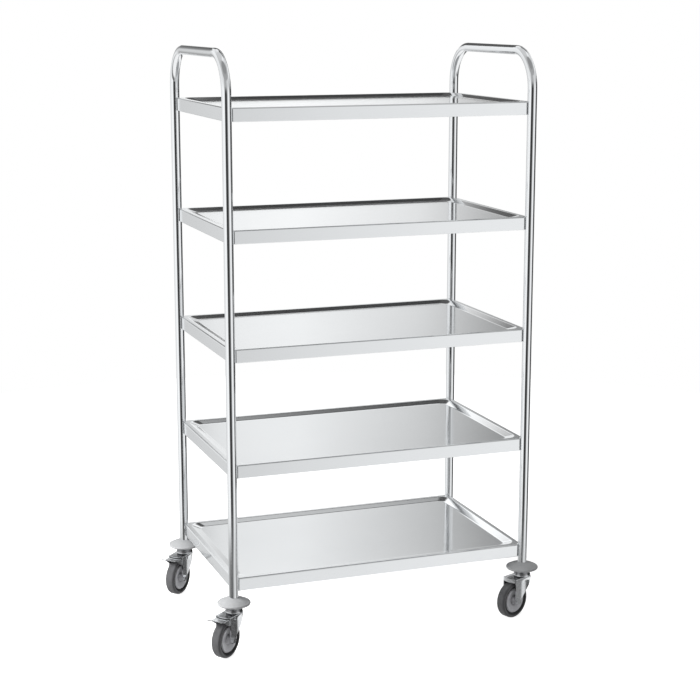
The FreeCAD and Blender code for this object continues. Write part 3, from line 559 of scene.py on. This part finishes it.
surround = band(LEFT_AND_FRONT + RIGHT_WALL)
surround = mixed(tree, height_step(tree, direction, *FLOOR_EDGE), surround, band(FLOOR))
surround = mixed(tree, height_step(tree, direction, *UNDERFOOT_EDGE), surround, WHITE)
surround = mixed(tree, height_step(tree, direction, *HIGH_EDGE), surround, band(HIGH))
surround = mixed(tree, height_step(tree, direction, *LIGHT_EDGE), surround, band(LIGHT))
surround = mixed(tree, height_step(tree, direction, *SKY_EDGE), surround, band(SKY))
surround = mixed(tree, height_step(tree, direction, *ZENITH_EDGE), surround, band(ZENITH))
ray = tree.nodes.new("ShaderNodeLightPath")
surround = mixed(tree, ray.outputs["Is Glossy Ray"], AMBIENT, surround)
surround = mixed(tree, ray.outputs["Is Camera Ray"], surround, WHITE)
tree.links.new(surround, tree.nodes["Background"].inputs["Color"])

# High behind the trolley hangs a dark card with a soft lower edge, which only shows in the steel.
CARD_LEFT, CARD_RIGHT = -0.3, 3.2
CARD_FOOT, CARD_HEAD = 1.8, 3.3
CARD_BACK = 2.6
CARD_EDGE = (1.82, 2.15)
CARD_LEVELS = (1.0, 0.1)
CARD_MIDDLE = ((CARD_LEFT + CARD_RIGHT) / 2, CARD_BACK, (CARD_FOOT + CARD_HEAD) / 2)
bpy.ops.object.select_all(action="DESELECT")
bpy.ops.mesh.primitive_plane_add(size=1, rotation=(math.pi / 2, 0, 0), location=CARD_MIDDLE)
card = bpy.context.object
card.name = "dark_card"
card.scale = (CARD_RIGHT - CARD_LEFT, CARD_HEAD - CARD_FOOT, 1)
bpy.ops.object.transform_apply(location=True, rotation=True, scale=True)
card_grey, tree, shader = new_material("card_grey")
tree.nodes.remove(shader)
glow = tree.nodes.new("ShaderNodeEmission")
tree.links.new(height_step(tree, object_pattern(tree), *CARD_EDGE, *CARD_LEVELS), glow.inputs["Color"])
tree.links.new(glow.outputs[0], tree.nodes["Material Output"].inputs["Surface"])
card.data.materials.append(card_grey)
card.visible_camera = False
card.visible_diffuse = False
card.visible_shadow = False


def soft_lamp(name, size, place, target, power):
    """A lamp that lights the trolley and doesn't show in its steel."""
    lamp = bpy.data.lights.new(name, "AREA")
    lamp.shape = "RECTANGLE"
    lamp.size, lamp.size_y = size
    lamp.energy = power
    holder = bpy.data.objects.new(name, lamp)
    bpy.context.scene.collection.objects.link(holder)
    holder.location = place
    holder.rotation_euler = (Vector(target) - Vector(place)).to_track_quat("-Z", "Y").to_euler()
    holder.visible_glossy = False


soft_lamp("left_lamp", size=(0.8, 0.8), place=(-1.8, -0.1, 1.0), target=(-0.3, 0, 0.1), power=55)
soft_lamp("top_lamp", size=(1.6, 1.2), place=(0.1, -0.7, 3.6), target=(0, 0, 1.0), power=25)

# The camera stands a little left of the front and above the handles, as in the photograph.
CAMERA_PLACE = (-1.5463, -4.2267, 1.6659)
CAMERA_PITCH = math.radians(11.72)
CAMERA_YAW = math.radians(20.104)
FOCAL_PIXELS = 1656.1
PHOTO_PIXELS = 700
SENSOR_WIDTH = 36.0
camera = bpy.data.cameras.new("camera")
camera.sensor_fit = "HORIZONTAL"
camera.sensor_width = SENSOR_WIDTH
camera.lens = FOCAL_PIXELS / PHOTO_PIXELS * SENSOR_WIDTH
camera_holder = bpy.data.objects.new("camera", camera)
bpy.context.scene.collection.objects.link(camera_holder)
camera_holder.location = CAMERA_PLACE
camera_holder.rotation_euler = (math.pi / 2 - CAMERA_PITCH, 0, -CAMERA_YAW)
bpy.context.scene.camera = camera_holder
bpy.context.scene.view_settings.view_transform = "Standard"
